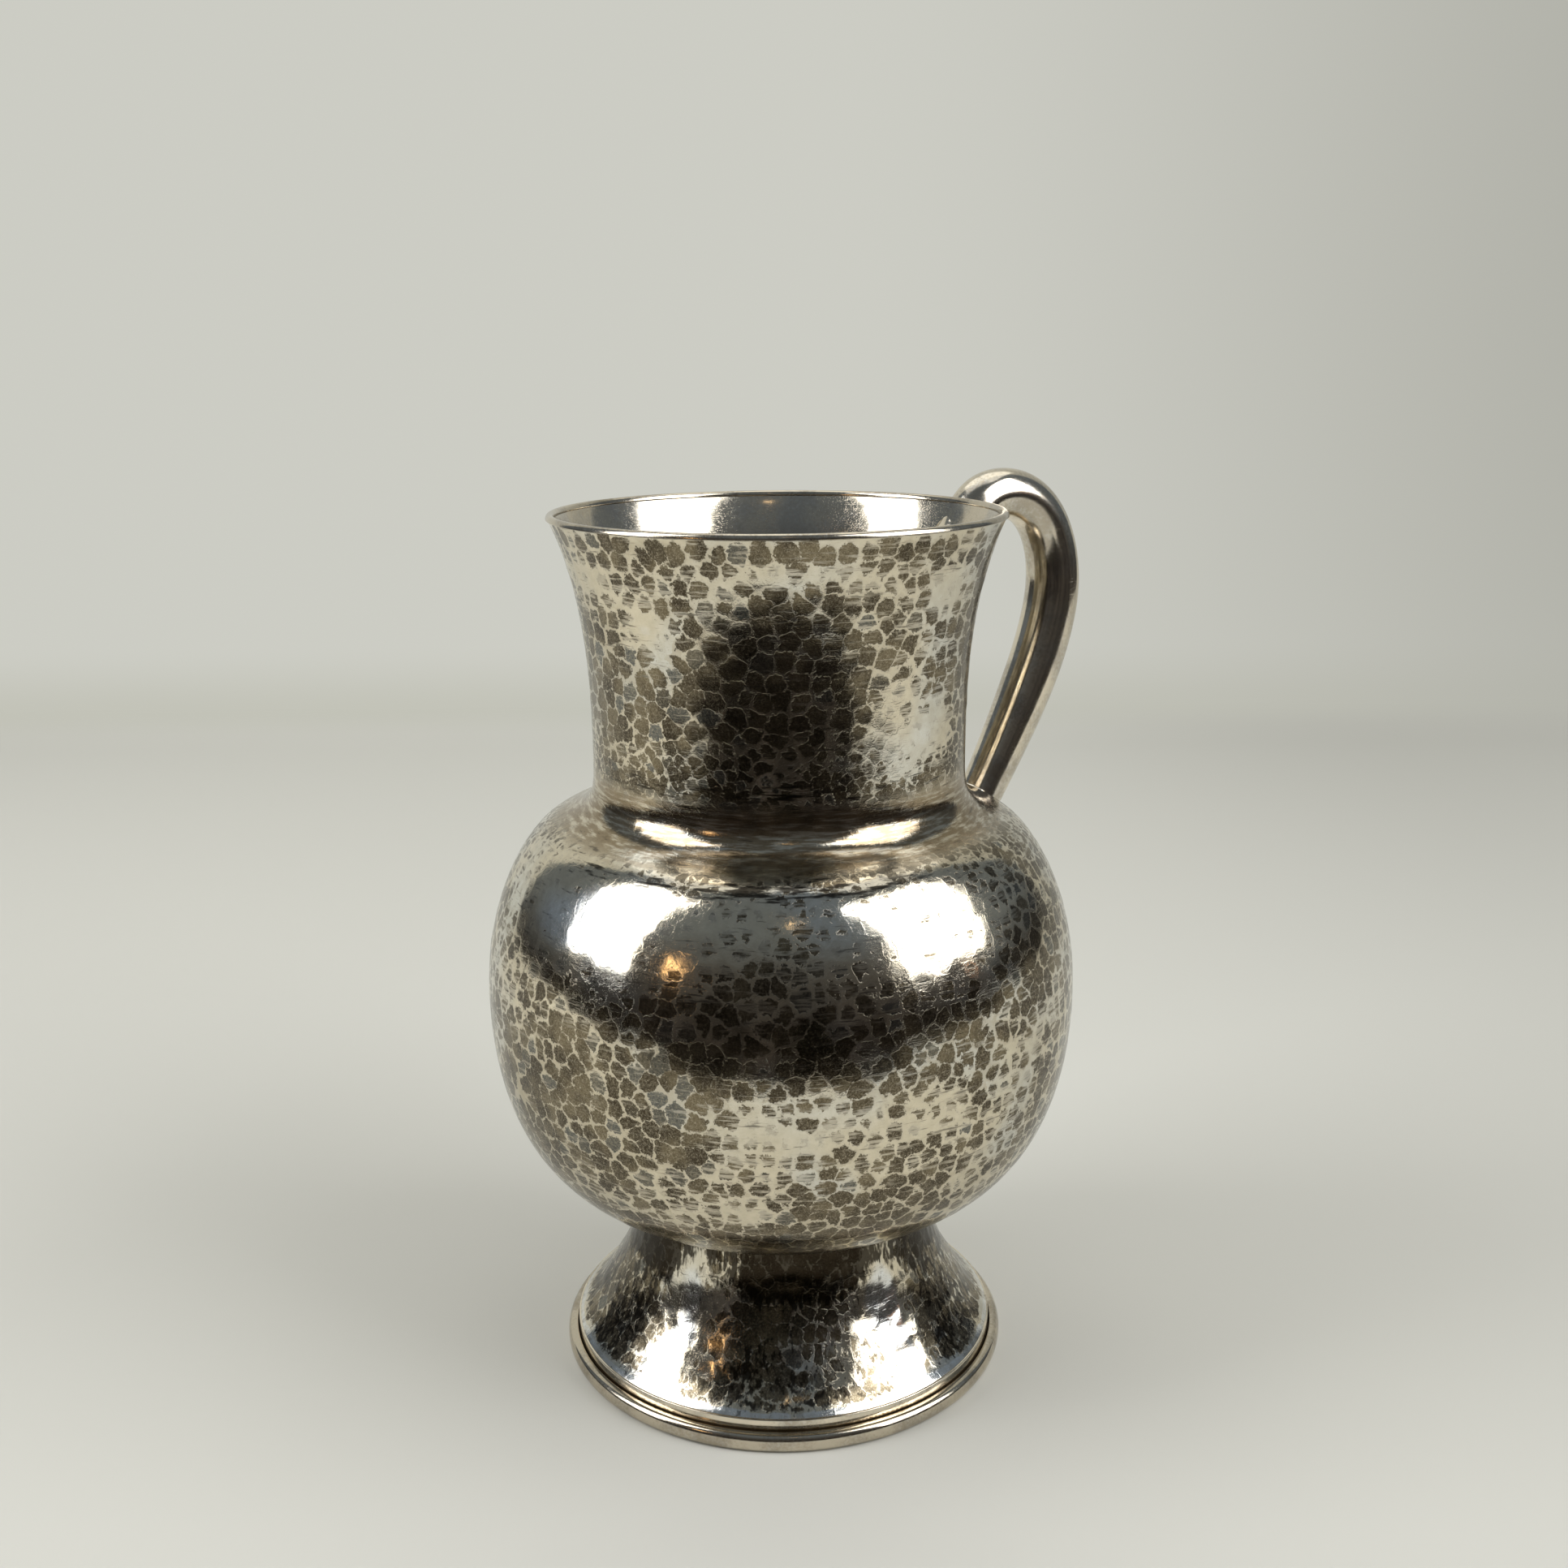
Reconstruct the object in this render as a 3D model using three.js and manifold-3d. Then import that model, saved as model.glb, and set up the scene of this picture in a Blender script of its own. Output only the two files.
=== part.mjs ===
// Silver water pitcher: a hammered pear-shaped vessel raised from one sheet, on a trumpet foot with
// a band and a base wire, with a tapered hollow handle soldered on under the rim and on the shoulder.
// Millimetres, +Z up. The vessel's axis is vertical and the handle lies in the XZ plane, towards +X.
// The origin is the centre of the object's footprint box, on the table.
import * as THREE from "three";
import { mergeVertices } from "three/addons/utils/BufferGeometryUtils.js";
import Module from "manifold-3d";

const wasm = await Module();
wasm.setup();

// ---- Driving dimensions ----

const SOLDER_GAP = 0.3; // what the solder film takes up between two seated pieces

// Vessel. Heights are measured from the vessel's own underside.
const VESSEL_WALL = 1.1;
const VESSEL_BOTTOM_RADIUS = 29;
const VESSEL_BOTTOM_SLOPE = 5.2; // degrees, where the flat underside turns into the bowl
const BELLY_RADIUS = 60.9;
const BELLY_HEIGHT = 46.1;
const SHOULDER_RADIUS = 46.4; // where the shoulder stops bulging and starts to hollow
const SHOULDER_HEIGHT = 81.2;
const SHOULDER_SLOPE = 22.8;
const WAIST_RADIUS = 37.8;
const WAIST_HEIGHT = 95.4;
const MOUTH_RADIUS = 45.05; // top edge of the sheet, outside
const VESSEL_HEIGHT = 142;
const MOUTH_SLOPE = 65;

// Rim wire, soldered on the top edge of the vessel's sheet
const RIM_WIRE_HEIGHT = 1.1;
const RIM_WIRE_WIDTH = 1.8;
const RIM_WIRE_PROUD = 0.45; // how far it stands out past the sheet

// Foot: trumpet, band and base wire, from the top down
const FOOT_HEIGHT = 36.6; // whole height of the foot, from the table to the vessel's seat
const FOOT_WALL = 1.2;
const FOOT_TOP_RADIUS = 31;
const FOOT_LIP_RADIUS = 44.9;
const FOOT_LIP_SLOPE = 39.7;
const BAND_HEIGHT = 6;
const BAND_PROUD = 0.3; // past the foot's lip
const BAND_THICKNESS = 1.6;
const BASE_WIRE_HEIGHT = 3.8;
const BASE_WIRE_WIDTH = 2.1;
const BASE_WIRE_FLAT = 0.9; // width of the flat that the wire stands on

// Fillet of solder round the top of the foot
const FOOT_FILLET_LEG = 2.6;

// Handle: centreline in the XZ plane
const HANDLE_WALL = 1.2;
const HANDLE_UPPER_DROP = 12.2; // of the upper joint's centre below the rim
const HANDLE_UPPER_ANGLE = 28; // degrees above horizontal, as the handle leaves the neck
const HANDLE_CREST_OUT = 12.1; // of the crest, outside the rim
const HANDLE_CREST_RISE = 0.4; // of the crest's centreline above the rim
const HANDLE_REACH = 73; // of the centreline from the vessel's axis
const HANDLE_REACH_DROP = 19.9; // of the outermost point below the rim
const HANDLE_LOWER_HEIGHT = 75.6; // of the lower joint, above the vessel's underside
const HANDLE_LOWER_ANGLE = 59.6; // degrees above horizontal, as the handle meets the shoulder
const HANDLE_UPPER_RADIUS = 5.3;
const HANDLE_GRIP_RADIUS = 6;
const HANDLE_LOWER_RADIUS = 4.6;
const HANDLE_FILLET_LEG = 1.5;
const HANDLE_FILLET_STEP = 0.75; // lower and wider first step of the fillet

// Faceting
const AROUND = 48; // facets round the vessel's axis
const TUBE_SIDES = 16; // an even number
const TUBE_STEPS = 44;

// ---- Derived places ----

const vesselBottom = FOOT_HEIGHT + SOLDER_GAP;
const sheetTop = vesselBottom + VESSEL_HEIGHT;
const rimTop = sheetTop + RIM_WIRE_HEIGHT;
const rimRadius = MOUTH_RADIUS + RIM_WIRE_PROUD;
const bandRadius = FOOT_LIP_RADIUS + BAND_PROUD;
const baseWireInner = bandRadius + SOLDER_GAP;

// ---- Outlines: lists of (radius, height) points ----

const at = (radius, height) => new THREE.Vector2(radius, height);
const radians = THREE.MathUtils.degToRad;
const heading = (degrees) => at(Math.cos(radians(degrees)), Math.sin(radians(degrees)));

// A smooth span between two points that leaves and arrives at set headings. Each pull is a share of
// the straight distance, so the span keeps its character when a size changes.
function span(start, startHeading, startPull, end, endHeading, endPull) {
  const reach = start.distanceTo(end);
  const control1 = start.clone().addScaledVector(heading(startHeading), startPull * reach);
  const control2 = end.clone().addScaledVector(heading(endHeading), -endPull * reach);
  return new THREE.CubicBezierCurve(start, control1, control2, end);
}

const vesselSpans = (() => {
  const bottom = at(VESSEL_BOTTOM_RADIUS, vesselBottom);
  const belly = at(BELLY_RADIUS, vesselBottom + BELLY_HEIGHT);
  const shoulder = at(SHOULDER_RADIUS, vesselBottom + SHOULDER_HEIGHT);
  const waist = at(WAIST_RADIUS, vesselBottom + WAIST_HEIGHT);
  const mouth = at(MOUTH_RADIUS, sheetTop);
  const overShoulder = 180 - SHOULDER_SLOPE;
  return [
    [span(bottom, VESSEL_BOTTOM_SLOPE, 0.414, belly, 90, 0.446), 10],
    [span(belly, 90, 0.446, shoulder, overShoulder, 0.195), 7],
    [span(shoulder, overShoulder, 0.56, waist, 90, 0.589), 7],
    [span(waist, 90, 0.292, mouth, MOUTH_SLOPE, 0.33), 7],
  ];
})();

// The points along joined spans, each moved sideways by `offset`, outwards where that is positive.
function offsetOutline(spans, offset) {
  const points = [];
  spans.forEach(([curve, steps], index) => {
    for (let step = index === 0 ? 0 : 1; step <= steps; step++) {
      const tangent = curve.getTangent(step / steps);
      const outward = at(tangent.y, -tangent.x);
      points.push(curve.getPoint(step / steps).addScaledVector(outward, offset));
    }
  });
  return points;
}

// The vessel's outside with its underside closed to the axis, moved outwards by `offset`.
function vesselOutside(offset) {
  return [at(0, vesselBottom - offset), ...offsetOutline(vesselSpans, offset)];
}

// Radius of the vessel's outside at a height, on the straight line between outline points.
function vesselRadiusAt(height) {
  const outline = offsetOutline(vesselSpans, 0);
  const next = outline.findIndex((point) => point.y >= height);
  const [low, high] = [outline[next - 1], outline[next]];
  return THREE.MathUtils.mapLinear(height, low.y, high.y, low.x, high.x);
}

// An arc of an outline, between two angles in degrees.
function arc(centre, radiusX, radiusY, from, to, steps) {
  return Array.from({ length: steps + 1 }, (_, step) => {
    const angle = radians(THREE.MathUtils.lerp(from, to, step / steps));
    return at(centre.x + radiusX * Math.cos(angle), centre.y + radiusY * Math.sin(angle));
  });
}

// ---- Solids ----

function lathe(outline) {
  return new THREE.LatheGeometry(outline, AROUND).rotateX(Math.PI / 2);
}

// A rod along a curve whose radius varies along it: radiusAt takes the share of the length, 0 to 1.
function taperedRod(curve, radiusAt) {
  const section = new THREE.Shape().absarc(0, 0, 1, 0, 2 * Math.PI);
  const options = { steps: TUBE_STEPS, curveSegments: TUBE_SIDES / 2, bevelEnabled: false };
  const rod = new THREE.ExtrudeGeometry(section, { ...options, extrudePath: curve });
  const stations = curve.getSpacedPoints(TUBE_STEPS);
  const position = rod.getAttribute("position");
  const vertex = new THREE.Vector3();
  for (let i = 0; i < position.count; i++) {
    vertex.fromBufferAttribute(position, i);
    const gaps = stations.map((station) => station.distanceToSquared(vertex));
    const nearest = gaps.indexOf(Math.min(...gaps));
    vertex.sub(stations[nearest]).multiplyScalar(radiusAt(nearest / TUBE_STEPS));
    vertex.add(stations[nearest]);
    position.setXYZ(i, vertex.x, vertex.y, vertex.z);
  }
  return rod;
}

function toSolid(geometry) {
  const bare = geometry.clone().deleteAttribute("normal").deleteAttribute("uv");
  const merged = mergeVertices(bare, 1e-4);
  const mesh = new wasm.Mesh({
    numProp: 3,
    vertProperties: merged.attributes.position.array,
    triVerts: new Uint32Array(merged.index.array),
  });
  return new wasm.Manifold(mesh);
}

function toGeometry(solid) {
  const mesh = solid.getMesh();
  const geometry = new THREE.BufferGeometry();
  geometry.setAttribute("position", new THREE.BufferAttribute(mesh.vertProperties, 3));
  geometry.setIndex(new THREE.BufferAttribute(mesh.triVerts, 1));
  geometry.computeVertexNormals();
  return geometry;
}

// ---- Pieces ----

function vesselBody() {
  const inside = offsetOutline(vesselSpans, -VESSEL_WALL).filter((point) => point.y < sheetTop);
  inside.push(at(MOUTH_RADIUS - VESSEL_WALL / Math.sin(radians(MOUTH_SLOPE)), sheetTop));
  const floor = at(0, vesselBottom + VESSEL_WALL);
  return lathe([...vesselOutside(0), ...inside.reverse(), floor]);
}

function rimWire() {
  const centre = at(rimRadius - RIM_WIRE_WIDTH / 2, sheetTop);
  const crown = arc(centre, RIM_WIRE_WIDTH / 2, RIM_WIRE_HEIGHT, 0, 180, 6);
  return lathe([...crown, crown[0].clone()]);
}

const footSpans = (() => {
  const lip = at(FOOT_LIP_RADIUS, BAND_HEIGHT);
  const top = at(FOOT_TOP_RADIUS, FOOT_HEIGHT);
  return [[span(lip, 180 - FOOT_LIP_SLOPE, 0.324, top, 90, 0.47), 12]];
})();

function footTrumpet() {
  const outside = offsetOutline(footSpans, 0);
  const inside = offsetOutline(footSpans, -FOOT_WALL);
  const level = inside.filter((point) => point.y > BAND_HEIGHT && point.y < FOOT_HEIGHT);
  const lipInner = FOOT_LIP_RADIUS - FOOT_WALL / Math.sin(radians(FOOT_LIP_SLOPE));
  const topInner = at(FOOT_TOP_RADIUS - FOOT_WALL, FOOT_HEIGHT);
  const closing = [topInner, ...level.reverse(), at(lipInner, BAND_HEIGHT)];
  return lathe([...outside, ...closing, outside[0].clone()]);
}

function footBand() {
  const inner = bandRadius - BAND_THICKNESS;
  const ring = [at(inner, 0), at(bandRadius, 0), at(bandRadius, BAND_HEIGHT), at(inner, BAND_HEIGHT)];
  return lathe([...ring, ring[0].clone()]);
}

// D-section wire: flat against the band, a narrow flat to stand on, rounded everywhere else.
function baseWire() {
  const half = BASE_WIRE_HEIGHT / 2;
  const centre = at(baseWireInner + BASE_WIRE_FLAT, half);
  const bulge = arc(centre, BASE_WIRE_WIDTH - BASE_WIRE_FLAT, half, -90, 90, 8);
  const topInner = at(baseWireInner, BASE_WIRE_HEIGHT);
  return lathe([at(baseWireInner, 0), ...bulge, topInner, at(baseWireInner, 0)]);
}

// Concave ring of solder in the corner between the foot's wall and the vessel's underside.
function footFillet() {
  const underside = vesselOutside(SOLDER_GAP);
  const outer = FOOT_TOP_RADIUS + SOLDER_GAP + FOOT_FILLET_LEG;
  const inner = FOOT_TOP_RADIUS + SOLDER_GAP;
  const heightAt = (radius) => {
    const next = underside.findIndex((point) => point.x >= radius);
    const [low, high] = [underside[next - 1], underside[next]];
    return THREE.MathUtils.mapLinear(radius, low.x, high.x, low.y, high.y);
  };
  const corner = at(inner, heightAt(inner));
  const tip = at(outer, heightAt(outer));
  const toe = at(inner, corner.y - FOOT_FILLET_LEG);
  const hollow = new THREE.QuadraticBezierCurve(toe, corner.clone().lerp(at(outer, toe.y), 0.2), tip);
  const between = underside.filter((point) => point.x > inner && point.x < outer).reverse();
  return lathe([...hollow.getPoints(5), ...between, corner, toe.clone()]);
}

// The vessel as if it were full to the brim, grown by `offset`.
function fullVessel(offset) {
  const top = sheetTop - SOLDER_GAP;
  const below = vesselOutside(offset).filter((point) => point.y < top);
  return toSolid(lathe([...below, at(MOUTH_RADIUS + offset, top), at(0, top)]));
}

// What the handle's ends are cut back by: the full vessel and its rim wire, less the solder gap.
const handleCutter = (() => {
  const brimRadius = rimRadius + SOLDER_GAP;
  const low = sheetTop - SOLDER_GAP;
  const high = rimTop + SOLDER_GAP;
  const brim = lathe([at(0, low - 1), at(brimRadius, low - 1), at(brimRadius, high), at(0, high)]);
  return fullVessel(SOLDER_GAP).add(toSolid(brim));
})();

// The handle's centreline, run on inside the vessel at both ends so that the joints can be cut.
const handleCentreline = (() => {
  const insideRun = 11;
  const inPlane = (point) => new THREE.Vector3(point.x, 0, point.y);
  const upperHeight = rimTop - HANDLE_UPPER_DROP;
  const upper = at(vesselRadiusAt(upperHeight), upperHeight);
  const crest = at(rimRadius + HANDLE_CREST_OUT, rimTop + HANDLE_CREST_RISE);
  const reach = at(HANDLE_REACH, rimTop - HANDLE_REACH_DROP);
  const lowerHeight = vesselBottom + HANDLE_LOWER_HEIGHT;
  const lower = at(vesselRadiusAt(lowerHeight), lowerHeight);
  const lowerHeading = 180 + HANDLE_LOWER_ANGLE;
  const upperEnd = upper.clone().addScaledVector(heading(HANDLE_UPPER_ANGLE), -insideRun);
  const lowerEnd = lower.clone().addScaledVector(heading(lowerHeading), insideRun);
  const spans = [
    span(upperEnd, HANDLE_UPPER_ANGLE, 0.33, upper, HANDLE_UPPER_ANGLE, 0.33),
    span(upper, HANDLE_UPPER_ANGLE, 0.58, crest, 0, 0.57),
    span(crest, 0, 0.35, reach, 270, 0.45),
    span(reach, 270, 0.28, lower, lowerHeading, 0.21),
    span(lower, lowerHeading, 0.33, lowerEnd, lowerHeading, 0.33),
  ];
  const path = new THREE.CurvePath();
  for (const { v0, v1, v2, v3 } of spans)
    path.add(new THREE.CubicBezierCurve3(inPlane(v0), inPlane(v1), inPlane(v2), inPlane(v3)));
  return path;
})();

// The handle swells to the grip and then tapers to its lower joint.
function handleRadiusAt(share) {
  const gripShare = 0.6;
  const { lerp, smoothstep } = THREE.MathUtils;
  if (share < gripShare)
    return lerp(HANDLE_UPPER_RADIUS, HANDLE_GRIP_RADIUS, smoothstep(share, 0.2, gripShare));
  return lerp(HANDLE_GRIP_RADIUS, HANDLE_LOWER_RADIUS, smoothstep(share, gripShare, 1));
}

const handleRod = (growth) =>
  toSolid(taperedRod(handleCentreline, (share) => handleRadiusAt(share) + growth));

function handle() {
  const tube = handleRod(0).subtract(handleRod(-HANDLE_WALL));
  return toGeometry(tube.subtract(handleCutter));
}

// The two fillets of solder round the handle's ends, each a wide low step and a narrow high one.
function handleFillets() {
  const step = SOLDER_GAP + HANDLE_FILLET_STEP;
  const leg = SOLDER_GAP + HANDLE_FILLET_LEG;
  const low = fullVessel(step).intersect(handleRod(leg));
  const high = fullVessel(leg).intersect(handleRod(step));
  const both = low.add(high).subtract(handleRod(SOLDER_GAP)).subtract(handleCutter);
  const rings = both.decompose().sort((a, b) => b.volume() - a.volume()).slice(0, 2);
  const centreHeight = (ring) => ring.boundingBox().min[2] + ring.boundingBox().max[2];
  return rings.sort((a, b) => centreHeight(b) - centreHeight(a)).map(toGeometry);
}

// ---- Assembly ----

const hammeredSilver = { color: 0x8a8270, roughness: 0.28, metalness: 1 };
const polishedSilver = { color: 0xd9cfb8, roughness: 0.12, metalness: 1 };
const solderSilver = { color: 0xc9bfa8, roughness: 0.22, metalness: 1 };

const pitcher = new THREE.Group();

function place(name, geometry, finish) {
  const mesh = new THREE.Mesh(geometry, new THREE.MeshStandardMaterial(finish));
  mesh.name = name;
  pitcher.add(mesh);
}

const [upperFillet, lowerFillet] = handleFillets();
place("vessel_body", vesselBody(), hammeredSilver);
place("rim_wire", rimWire(), polishedSilver);
place("foot_trumpet", footTrumpet(), hammeredSilver);
place("foot_band", footBand(), polishedSilver);
place("base_wire", baseWire(), polishedSilver);
place("foot_solder", footFillet(), solderSilver);
place("handle", handle(), polishedSilver);
place("handle_upper_solder", upperFillet, solderSilver);
place("handle_lower_solder", lowerFillet, solderSilver);

// The footprint box is off the vessel's axis because of the handle, so the axis moves instead.
const footprint = new THREE.Box3().setFromObject(pitcher, true);
pitcher.position.x = -(footprint.min.x + footprint.max.x) / 2;

export default pitcher;
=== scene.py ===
"""Looks of the silver water pitcher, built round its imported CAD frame. Metres, +Z up, handle towards +X.

The vessel, foot, wires and handle are rebuilt as fine meshes from the sections of their CAD nodes, and
the hammer marks are real hollows in them. The material draws its tarnish round the same hammer marks.
"""

import math

import bpy
import numpy as np
from mathutils import Matrix, Vector, kdtree, noise


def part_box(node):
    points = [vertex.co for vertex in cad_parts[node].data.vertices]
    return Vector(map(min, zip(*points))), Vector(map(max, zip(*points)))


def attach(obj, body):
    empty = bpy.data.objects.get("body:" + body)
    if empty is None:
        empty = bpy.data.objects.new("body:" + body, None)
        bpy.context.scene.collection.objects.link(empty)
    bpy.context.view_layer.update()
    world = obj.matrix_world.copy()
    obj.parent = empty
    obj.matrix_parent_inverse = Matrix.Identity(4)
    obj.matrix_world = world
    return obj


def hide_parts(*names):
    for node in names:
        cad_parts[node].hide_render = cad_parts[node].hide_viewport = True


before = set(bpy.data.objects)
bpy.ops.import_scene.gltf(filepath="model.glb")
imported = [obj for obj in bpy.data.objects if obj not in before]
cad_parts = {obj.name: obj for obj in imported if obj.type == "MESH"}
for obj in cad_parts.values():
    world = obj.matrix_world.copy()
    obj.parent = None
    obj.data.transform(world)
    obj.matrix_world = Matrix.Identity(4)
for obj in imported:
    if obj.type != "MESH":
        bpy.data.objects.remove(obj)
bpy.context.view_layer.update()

MM = 0.001
random = np.random.default_rng(20)

# ---- Places, all from the frame ----

body_low, body_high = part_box("vessel_body")
AXIS_X = (body_low.x + body_high.x) / 2
RIM_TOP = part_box("rim_wire")[1].z
BAND_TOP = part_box("foot_band")[1].z
WIRE_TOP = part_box("base_wire")[1].z

# The view: the handle points away from the camera by this much behind the right-hand side.
HANDLE_BEHIND = math.radians(33)
VIEW_RIGHT = np.array([math.cos(HANDLE_BEHIND), -math.sin(HANDLE_BEHIND), 0.0])
VIEW_TOWARD = np.array([-math.sin(HANDLE_BEHIND), -math.cos(HANDLE_BEHIND), 0.0])


# ---- Sections ----


def cad_outline(node):
    """The (radius, height) points of a turned node's section, in order, with the metal on the left."""
    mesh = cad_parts[node].data
    links = {}

    def section_point(index):
        x, y, z = mesh.vertices[index].co
        x -= AXIS_X
        radius = math.hypot(x, y)
        if radius > 1e-5 and (abs(y) > 1e-5 or x < 0):
            return None
        return (round(radius, 5) + 0.0, round(z, 5) + 0.0)

    for polygon in mesh.polygons:
        ring = [section_point(i) for i in polygon.vertices]
        for a, b in zip(ring, ring[1:] + ring[:1]):
            if a and b and a != b:
                links.setdefault(a, set()).add(b)
                links.setdefault(b, set()).add(a)
    ends = [p for p in links if len(links[p]) == 1]
    path = [min(ends or links, key=lambda p: (p[1], p[0]))]
    while True:
        onward = [p for p in sorted(links[path[-1]]) if p not in path]
        if not onward:
            break
        path.append(onward[0])
    outline = np.array(path)
    following = np.roll(outline, -1, axis=0)
    area = np.sum(outline[:, 0] * following[:, 1] - following[:, 0] * outline[:, 1])
    return (outline if area > 0 else outline[::-1]), not ends


def natural_spline(points, fine=24):
    """A curve with no kinks through the points, finely sampled."""
    t = np.r_[0, np.cumsum(np.linalg.norm(np.diff(points, axis=0), axis=1))]
    n = len(t)
    if n < 3:
        return np.array([points[0] + (points[-1] - points[0]) * s for s in np.linspace(0, 1, fine)])
    h = np.diff(t)
    system = np.eye(n)
    target = np.zeros_like(points)
    for i in range(1, n - 1):
        system[i, i - 1 : i + 2] = h[i - 1], 2 * (h[i - 1] + h[i]), h[i]
        target[i] = 6 * ((points[i + 1] - points[i]) / h[i] - (points[i] - points[i - 1]) / h[i - 1])
    bend = np.linalg.solve(system, target)
    samples = np.linspace(0, t[-1], fine * (n - 1) + 1)
    k = np.clip(np.searchsorted(t, samples, side="right") - 1, 0, n - 2)
    u, v = (samples - t[k])[:, None], (t[k + 1] - samples)[:, None]
    hk = h[k][:, None]
    return (
        bend[k] * v**3 / (6 * hk)
        + bend[k + 1] * u**3 / (6 * hk)
        + (points[k] / hk - bend[k] * hk / 6) * v
        + (points[k + 1] / hk - bend[k + 1] * hk / 6) * u
    )


def evenly(curve, spacing):
    """The curve resampled at an even spacing near the one asked for."""
    along = np.r_[0, np.cumsum(np.linalg.norm(np.diff(curve, axis=0), axis=1))]
    count = max(1, round(along[-1] / spacing))
    places = np.linspace(0, along[-1], count + 1)
    return np.stack([np.interp(places, along, curve[:, i]) for i in range(curve.shape[1])], axis=1)


SHARP_CORNER = math.radians(50)


def section_runs(outline, closed):
    """The outline cut at its sharp corners into smooth runs."""
    n = len(outline)
    if closed:
        before, after = np.roll(outline, 1, axis=0), np.roll(outline, -1, axis=0)
    else:
        before, after = outline[np.r_[0, 0 : n - 1]], outline[np.r_[1:n, n - 1]]
    a, b = outline - before, after - outline
    turn = np.abs(np.arctan2(a[:, 0] * b[:, 1] - a[:, 1] * b[:, 0], (a * b).sum(axis=1)))
    corners = [i for i in range(n) if turn[i] > SHARP_CORNER and (closed or 0 < i < n - 1)]
    if closed:
        outline = np.roll(outline, -corners[0], axis=0)
        corners = [i - corners[0] for i in corners] + [n]
        outline = np.vstack([outline, outline[:1]])
        return [outline[i : j + 1] for i, j in zip(corners, corners[1:])]
    stops = [0, *corners, n - 1]
    return [outline[i : j + 1] for i, j in zip(stops, stops[1:])]


def rounded_rows(runs, spacings, round_by):
    """Rows of (radius, height) along the runs, with each corner between them rounded off."""
    pieces = [evenly(natural_spline(run), step) for run, step in zip(runs, spacings)]
    rows = []
    for i, piece in enumerate(pieces):
        start, end = piece[0], piece[-1]
        body = [p for p in piece if min(np.linalg.norm(p - start), np.linalg.norm(p - end)) > round_by]
        first = i > 0 or np.allclose(pieces[-1][-1], start)
        last = i < len(pieces) - 1 or np.allclose(end, pieces[0][0])
        direction_in, direction_out = piece[1] - start, end - piece[-2]
        leave = start + direction_in / np.linalg.norm(direction_in) * round_by
        arrive = end - direction_out / np.linalg.norm(direction_out) * round_by
        rows.append(leave if first else start)
        rows.extend(body)
        rows.append(arrive if last else end)
        if last:
            following = pieces[(i + 1) % len(pieces)]
            onward = following[1] - following[0]
            onward = following[0] + onward / np.linalg.norm(onward) * round_by
            for s in (0.33, 0.67):
                rows.append((1 - s) ** 2 * arrive + 2 * s * (1 - s) * end + s * s * onward)
    return np.array(rows)


def row_normals(rows):
    """Outward (radius, height) directions of the rows: the metal is on the left of the outline."""
    along = np.gradient(rows, axis=0)
    along /= np.linalg.norm(along, axis=1)[:, None]
    return np.stack([along[:, 1], -along[:, 0]], axis=1)


# ---- Meshes ----


def turned_grid(rows, columns):
    """Points on the rows turned round the vessel's axis: an array of rows x columns x 3."""
    angle = np.arange(columns) * 2 * math.pi / columns
    ring = np.stack([np.cos(angle), np.sin(angle)], axis=1)
    grid = np.empty((len(rows), columns, 3))
    grid[..., :2] = rows[:, None, :1] * ring[None]
    grid[..., 2] = rows[:, None, 1]
    grid[..., 0] += AXIS_X
    return grid


def push(grid, rows, amount):
    """The grid moved along its own outward direction by an amount for each point."""
    normal = row_normals(rows)
    outward = grid - np.array([AXIS_X, 0, 0])
    outward[..., 2] = 0
    outward /= np.maximum(np.linalg.norm(outward, axis=2), 1e-9)[..., None]
    moved = grid + outward * (normal[:, None, :1] * amount[..., None])
    moved[..., 2] += normal[:, None, 1] * amount
    return moved


def new_object(name, vertices, faces, materials, face_material=None):
    mesh = bpy.data.meshes.new(name)
    mesh.from_pydata([], [], [])
    mesh.vertices.add(len(vertices))
    mesh.vertices.foreach_set("co", np.asarray(vertices, np.float32).ravel())
    sizes = np.array([len(f) for f in faces])
    mesh.loops.add(int(sizes.sum()))
    mesh.loops.foreach_set("vertex_index", np.concatenate(faces).astype(np.int32))
    mesh.polygons.add(len(faces))
    mesh.polygons.foreach_set("loop_start", (np.cumsum(sizes) - sizes).astype(np.int32))
    mesh.update(calc_edges=True)
    mesh.polygons.foreach_set("use_smooth", np.ones(len(faces), bool))
    for material in materials:
        mesh.materials.append(material)
    if face_material is not None:
        mesh.polygons.foreach_set("material_index", np.asarray(face_material, np.int32))
    mesh.validate()
    mesh.update()
    made = bpy.data.objects.new(name, mesh)
    bpy.context.scene.collection.objects.link(made)
    return made


def grid_faces(row_count, column_count, rows_closed, columns_closed=True):
    """Quads of a grid of vertices, row by row."""
    i = np.arange(row_count if rows_closed else row_count - 1)
    j = np.arange(column_count if columns_closed else column_count - 1)
    i, j = [a.ravel() for a in np.meshgrid(i, j, indexing="ij")]
    i2, j2 = (i + 1) % row_count, (j + 1) % column_count
    quads = [i * column_count + j, i * column_count + j2, i2 * column_count + j2, i2 * column_count + j]
    return np.stack(quads, axis=1)


def fan(centre, ring, turned_over):
    """Triangles from a centre vertex to a ring."""
    pairs = zip(ring, np.roll(ring, -1))
    return [np.array([centre, b, a] if turned_over else [centre, a, b]) for a, b in pairs]


def set_attribute(made, name, kind, domain, values):
    attribute = made.data.attributes.new(name, kind, domain)
    slot = "vector" if kind == "FLOAT_VECTOR" else "value"
    attribute.data.foreach_set(slot, np.asarray(values, np.float32).ravel())


# ---- Hammer marks ----


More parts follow.
